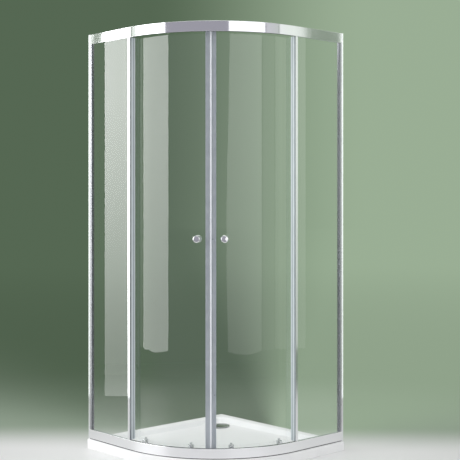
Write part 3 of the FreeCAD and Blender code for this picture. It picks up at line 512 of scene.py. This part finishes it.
def moulded_finish(name, dark, light, rough, grain_scale):
    """Moulded plastic or rubber with a fine spark-eroded grain."""
    material, finish = new_finish(name)
    grain = finish.noise(finish.place(), grain_scale, 3.0, 0.65)
    patch = finish.noise(finish.place(), 30.0, 2.0)
    tint = finish.blend((0.6 * grain + 0.4 * patch).rise(0.3, 0.7), dark, light)
    finish.out(finish.principled({
        "Base Color": tint, "Roughness": rough + 0.15 * grain,
        "Normal": finish.bump(grain, 0.00006)}))
    return material


def dress(finishes):
    """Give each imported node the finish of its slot, or of its own name where that is listed."""
    for entry in frame["record"]["subparts"]:
        node = frame["nodes"][entry["node"]]
        finish = finishes.get(entry["node"]) or finishes[entry["material_slot"]]
        node.data.materials.clear()
        node.data.materials.append(finish)


def make_finishes():
    """Finishes by material slot, and by node where a node has its own."""
    rail = bright_rail_finish()
    post = matt_upright_finish()
    folded = folded_seal_finish()
    return {
        "bright_aluminium": bright_upright_finish(),
        "top_rail": rail,
        "bottom_rail": rail,
        "left_side_post": post,
        "right_side_post": post,
        "left_trailing_seal": folded,
        "right_trailing_seal": folded,
        "left_fixed_edge_seal": folded,
        "right_fixed_edge_seal": folded,
        "chrome": chrome_finish(),
        "drain_cover": drain_cover_finish(),
        "steel": steel_finish(),
        "clear_glass": glass_finish(),
        "clear_seal": seal_finish(),
        "white_magnet": magnet_finish(),
        "white_acrylic": acrylic_finish(),
        "rubber": moulded_finish("black_rubber", grey(0.02), grey(0.05), 0.55, 400.0),
        "grey_plastic": moulded_finish(
            "grey_moulding", (0.46, 0.47, 0.49, 1), (0.56, 0.57, 0.59, 1), 0.35, 600.0),
        "white_nylon": moulded_finish(
            "white_nylon", (0.74, 0.74, 0.71, 1), (0.85, 0.85, 0.83, 1), 0.35, 350.0),
    }


def rail_line():
    """Plan line of the rails' outer face, with its outward directions.

    A straight run along X, a quarter turn about BEND and a straight run along Y; outward is -Y, then away
    from BEND, then +X.
    """
    turn = np.linspace(-math.pi / 2, 0, BEND_STEPS + 1)
    out = np.stack([np.cos(turn), np.sin(turn), np.zeros_like(turn)], -1)
    bend = np.array(BEND) + BEND_RADIUS * out
    start = bend[:1] + [[RAIL_LOW.x - BEND.x, 0, 0]]
    end = bend[-1:] + [[0, RAIL_HIGH.y - BEND.y, 0]]
    return np.vstack([start, bend, end]), np.vstack([out[:1], out, out[-1:]])


def new_piece(name, points, faces):
    """Object at the origin with a mesh of these points and faces."""
    mesh = bpy.data.meshes.new(name)
    mesh.from_pydata(points, [], faces)
    piece = bpy.data.objects.new(name, mesh)
    bpy.context.scene.collection.objects.link(piece)
    return piece


def swept(name, line, out, section):
    """Closed section of (reach, height) pairs carried along a level line, with both ends closed.

    Point (i, j) is line[i] + reach[j] * out[i] + height[j] * up.
    """
    reach, height = np.asarray(section).T
    points = line[:, None] + reach[None, :, None] * out[:, None]
    points[:, :, 2] += height
    stations, corners = points.shape[:2]
    index = np.arange(stations * corners).reshape(stations, corners)
    following = np.roll(index, -1, 1)
    walls = np.stack([index[:-1], index[1:], following[1:], following[:-1]], -1).reshape(-1, 4)
    ends = [index[0].tolist(), index[-1, ::-1].tolist()]
    return new_piece(name, points.reshape(-1, 3), walls.tolist() + ends)


def add_foot_gasket_and_shade(rubber):
    """Rubber bead along the foot of the bottom rail: half an oval that stands out over the tray's rim. Its
    black colour is partly a foot gasket and partly painted shade where the rail meets the tray.
    """
    angle = np.linspace(-math.pi / 2, math.pi / 2, BEAD_STEPS)
    low = RAIL_FOOT + BEAD_SEAT
    rounded = np.stack([BEAD_OUT * np.cos(angle), low + BEAD_HEIGHT / 2 * (1 + np.sin(angle))], -1)
    back = np.array([[-BEAD_IN, low + BEAD_HEIGHT], [-BEAD_IN, low]])
    bead = swept("rail_foot_gasket_and_shade", *rail_line(), np.vstack([rounded, back]))
    bead.data.materials.append(rubber)
    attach(bead, "frame")


def screw_surface():
    """One pan-head screw along +Y with its head's underside at the origin: points, quads and triangles.

    Point (i, j) is at radius[i] and height[i], turned by angle[j] about Y. Over the head, height follows a
    superellipse of order SCREW_ROUNDING, less CROSS_DEPTH where either arm of the cross runs.
    """
    reach = SCREW_HEAD_RADIUS * SCREW_RINGS
    crown = (1 - (reach / SCREW_HEAD_RADIUS) ** SCREW_ROUNDING) ** (1 / SCREW_ROUNDING)
    radius = np.concatenate([
        [SCREW_RADIUS - SCREW_POINT, SCREW_RADIUS, SCREW_RADIUS, SCREW_HEAD_RADIUS], reach])
    height = np.concatenate([
        [-SCREW_LENGTH, SCREW_POINT - SCREW_LENGTH, 0, 0], SCREW_RIM + (SCREW_HEAD - SCREW_RIM) * crown])
    angle = np.linspace(0, 2 * math.pi, SCREW_STEPS, endpoint=False)
    x, z = radius[:, None] * np.cos(angle), radius[:, None] * np.sin(angle)
    arm = np.clip((CROSS_ARM - np.minimum(abs(x), abs(z))) / CROSS_WALL + 0.5, 0, 1)
    arm *= np.clip((CROSS_REACH - radius[:, None]) / CROSS_WALL + 0.5, 0, 1) * (height[:, None] > 0)
    rings = np.stack([x, height[:, None] - CROSS_DEPTH * arm, z], -1).reshape(-1, 3)
    points = np.vstack([[[0, -SCREW_LENGTH, 0]], rings, [[0, SCREW_HEAD - CROSS_DEPTH, 0]]])
    index = 1 + np.arange(len(rings)).reshape(len(radius), SCREW_STEPS)
    following = np.roll(index, -1, 1)
    quads = np.stack([index[:-1], index[1:], following[1:], following[:-1]], -1).reshape(-1, 4)
    tip = np.stack([np.zeros_like(angle, int), index[0], following[0]], -1)
    top = np.stack([index[-1], np.full_like(angle, len(points) - 1, int), following[-1]], -1)
    return points, quads, np.vstack([tip, top])


def left_screw_places(node):
    """Middle of the head's underside of each screw on the left: one upright row, parted by gaps in height."""
    vertices = frame["nodes"][node].data.vertices
    points = np.empty(3 * len(vertices))
    vertices.foreach_get("co", points)
    points = points.reshape(-1, 3)
    left = points[points[:, 0] + points[:, 1] < 0]
    heights = np.sort(left[:, 2])
    groups = np.split(heights, np.flatnonzero(np.diff(heights) > 4 * SCREW_HEAD_RADIUS) + 1)
    across = (left[:, 0].min() + left[:, 0].max()) / 2
    underside = left[:, 1].max() - SCREW_HEAD
    return np.array([[across, underside, (group[0] + group[-1]) / 2] for group in groups])


def add_cross_screws(name, node, steel):
    """Screws with a pressed cross for the plain ones of a node.

    Those on the right mirror those on the left: x and y become -y and -x.
    """
    points, quads, triangles = screw_surface()
    left = (left_screw_places(node)[:, None] + points).reshape(-1, 3)
    right = left[:, [1, 0, 2]] * [-1, -1, 1]
    count = len(left) // len(points)
    starts = len(points) * np.arange(2 * count)[:, None, None]
    faces = []
    for kind in (quads, triangles):
        both = np.concatenate([np.repeat(kind[None], count, 0), np.repeat(kind[None, :, ::-1], count, 0)])
        faces += (both + starts).reshape(-1, kind.shape[1]).tolist()
    piece = new_piece(name, np.vstack([left, right]), faces)
    piece.data.shade_smooth()
    piece.data.set_sharp_from_angle(angle=SCREW_CREASE)
    piece.data.materials.append(steel)
    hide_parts(node)
    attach(piece, "frame")


def backdrop_tone(finish, vector):
    """Backdrop's colour in a direction: graduated behind the enclosure from painted shade on the left to a
    lighter right, paler beside it, grey in front.
    """
    unit = finish.vector("NORMALIZE", vector)
    ahead, aside = [finish.along(unit, way) for way in (FRONT, RIGHT)]
    # Painted shade: darker to the left behind the enclosure
    back = finish.blend(aside.rise(*BACK_SPREAD), BACK_SHADED_TONE, BACK_LIT_TONE)
    side = finish.blend(ahead.rise(*SIDE_SPREAD), back, SIDE_TONE)
    return finish.blend(ahead.rise(*FRONT_SPREAD), side, FRONT_TONE)


def seen_ray(finish):
    """1 for rays that show the surface itself: straight from the camera, mirrored or through glass."""
    mirrored_or_through = finish.ray("Is Glossy Ray").most(finish.ray("Is Transmission Ray"))
    return finish.ray("Is Camera Ray").most(mirrored_or_through)


def make_world():
    """Even fill light whose visible side is the plain backdrop."""
    world = bpy.data.worlds.new("studio")
    bpy.context.scene.world = world
    finish = Finish(world)
    direction = finish.node("ShaderNodeTexCoord", output="Generated")
    colour = finish.blend(seen_ray(finish), grey(FILL), backdrop_tone(finish, direction))
    finish.out(finish.node("ShaderNodeBackground", None, {"Color": colour}), "ShaderNodeOutputWorld")


def make_floor():
    """Plain floor: pale by the enclosure, a little darker round it as painted shade, then softly the
    backdrop's tone, whose glow starts dimmer as painted shade.

    Point (i, j) is at radius FLOOR_RADIUS * (i / rings) ** 2, turned by angle[j] about Z.
    """
    rings, around = FLOOR_STEPS
    angle = np.linspace(0, 2 * math.pi, around, endpoint=False)
    reach = FLOOR_RADIUS * np.linspace(0, 1, rings + 1)[1:] ** 2
    ring, turn = np.meshgrid(reach, angle, indexing="ij")
    points = np.stack([ring * np.cos(turn), ring * np.sin(turn), np.zeros_like(ring)], -1)
    points = np.vstack([np.zeros((1, 3)), points.reshape(-1, 3)]) + [0, 0, FLOOR_LEVEL - FLOOR_DROP]
    index = 1 + np.arange(rings * around).reshape(rings, around)
    following = np.roll(index, -1, 1)
    quads = np.stack([index[:-1], index[1:], following[1:], following[:-1]], -1).reshape(-1, 4)
    middle = np.stack([np.zeros(around, int), index[0], following[0]], -1)
    floor = new_piece("floor", points, quads.tolist() + middle.tolist())
    material, finish = new_finish("pale_floor")
    place = finish.place()
    ahead, aside = [finish.along(place, way) for way in (FRONT, RIGHT)]
    distance = (ahead ** 2 + aside ** 2) ** 0.5
    patch = finish.noise(place, 3.0, 3.0)
    lit = finish.blend(patch, grey(FLOOR_TONE - FLOOR_MOTTLE), grey(FLOOR_TONE + FLOOR_MOTTLE))
    # Painted shade: the floor's colour darkens away from the enclosure
    pale = finish.blend(distance.rise(*FLOOR_FALLOFF_SPAN), lit, grey(FLOOR_TONE - FLOOR_FALLOFF_SHADE))
    backdrop = backdrop_tone(finish, finish.vector("SUBTRACT", place, RIGHT * CAMERA_ASIDE))
    near = finish.principled({
        "Base Color": finish.blend(ahead.rise(*FLOOR_PASSES), backdrop, pale), "Roughness": 0.5})
    # Painted shade: the far floor's glow is dimmer nearer the enclosure
    strength = FLOOR_DIM + (1.0 - FLOOR_DIM) * distance.rise(*FLOOR_CLEARS)
    far = finish.node("ShaderNodeEmission", None, {"Color": backdrop, "Strength": strength})
    share = distance.rise(*FLOOR_FADE) * seen_ray(finish)
    finish.out(finish.mixed(share, near, far))
    floor.data.materials.append(material)
    return floor


def add_panel(name, centre, towards, width, height, radiance, low_share=1.0):
    """Large soft lamp; its radiance is what a mirror shows of its top, and its foot has low_share of that.

    Over PANEL_RAMP, in shares of the height, the strength passes from the one to the other. An area lamp's
    radiance is its energy divided by four times its area.
    """
    lamp = bpy.data.lights.new(name, "AREA")
    lamp.shape = "RECTANGLE"
    lamp.size, lamp.size_y = width, height
    lamp.energy = 4 * width * height * radiance
    finish = Finish(lamp)
    _, rising, _ = finish.split(finish.node("ShaderNodeNewGeometry", output="Parametric"))
    strength = low_share + (1.0 - low_share) * rising.rise(*PANEL_RAMP)
    finish.out(finish.node("ShaderNodeEmission", None, {"Strength": strength}), "ShaderNodeOutputLight")
    holder = bpy.data.objects.new(name, lamp)
    holder.location = centre
    holder.rotation_mode = "QUATERNION"
    holder.rotation_quaternion = (Vector(towards) - Vector(centre)).to_track_quat("-Z", "Y")
    holder.visible_camera = False
    bpy.context.scene.collection.objects.link(holder)
    return holder


def link_receivers(holder, pieces, state):
    """Light these pieces alone (INCLUDE), or everything but these (EXCLUDE)."""
    named = bpy.data.collections.new("receivers_of_" + holder.name)
    for piece in pieces:
        named.objects.link(piece)
    for member in named.collection_objects:
        member.light_linking.link_state = state
    holder.light_linking.receiver_collection = named


def bearing(degrees, distance):
    """Level place at an angle from the enclosure's front, positive to the viewer's right."""
    turn = math.radians(degrees)
    return BEND + (FRONT * math.cos(turn) + RIGHT * math.sin(turn)) * distance


def light_studio(floor):
    """Tall soft panels round the front and one overhead.

    No panel may show straight through the panes. A near one is hidden from rays that pass glass, and leaves
    out the floor, where it would draw a bright patch. A far one leaves out the panes, and has a hidden twin
    that they alone mirror. GLASS_GAIN makes up for the mirroring on a pane's far face, which hiding stops.
    """
    panes = [
        frame["nodes"][entry["node"]] for entry in frame["record"]["subparts"]
        if entry["material_slot"] == "clear_glass"]
    for name, start, end, distance, radiance, low_share in PANELS:
        first, last = bearing(start, distance), bearing(end, distance)
        middle = (first + last) / 2 + Vector((0, 0, PANEL_HEIGHT / 2))
        stand = (middle, (BEND.x, BEND.y, PANEL_HEIGHT / 2), (last - first).length, PANEL_HEIGHT)
        panel = add_panel(name, *stand, radiance, low_share)
        if distance < NEAR:
            panel.visible_transmission = False
            link_receivers(panel, [floor], "EXCLUDE")
            continue
        link_receivers(panel, panes, "EXCLUDE")
        twin = add_panel(name + "_in_glass", *stand, GLASS_GAIN * radiance, low_share)
        twin.visible_transmission = False
        link_receivers(twin, panes, "INCLUDE")
    size, height, radiance = TOP_PANEL
    add_panel("top_panel", (BEND.x, BEND.y, height), (BEND.x, BEND.y, 0), size, size, radiance)


def make_camera():
    """Level camera with its view shifted down."""
    data = bpy.data.cameras.new("camera")
    data.sensor_width = SENSOR
    data.lens = FOCAL_PIXELS / IMAGE * SENSOR
    data.shift_y = (HORIZON_PIXEL - IMAGE / 2) / IMAGE
    holder = bpy.data.objects.new("camera", data)
    place = CORNER + FRONT * CAMERA_AHEAD + RIGHT * CAMERA_ASIDE
    holder.location = place + Vector((0, 0, RAIL_FOOT + CAMERA_RISE))
    look = -FRONT * math.cos(CAMERA_YAW) + RIGHT * math.sin(CAMERA_YAW)
    holder.rotation_mode = "QUATERNION"
    holder.rotation_quaternion = look.to_track_quat("-Z", "Y")
    bpy.context.scene.collection.objects.link(holder)
    bpy.context.scene.camera = holder


bpy.context.scene.view_settings.view_transform = "Standard"
finishes = make_finishes()
dress(finishes)
# Dark bead under the bottom rail: partly a gasket, partly painted shade
add_foot_gasket_and_shade(finishes["rubber"])
add_cross_screws("cross_corner_screws", "corner_screws", finishes["steel"])
add_cross_screws("cross_profile_screws", "profile_screws", finishes["steel"])
make_world()
light_studio(make_floor())
make_camera()
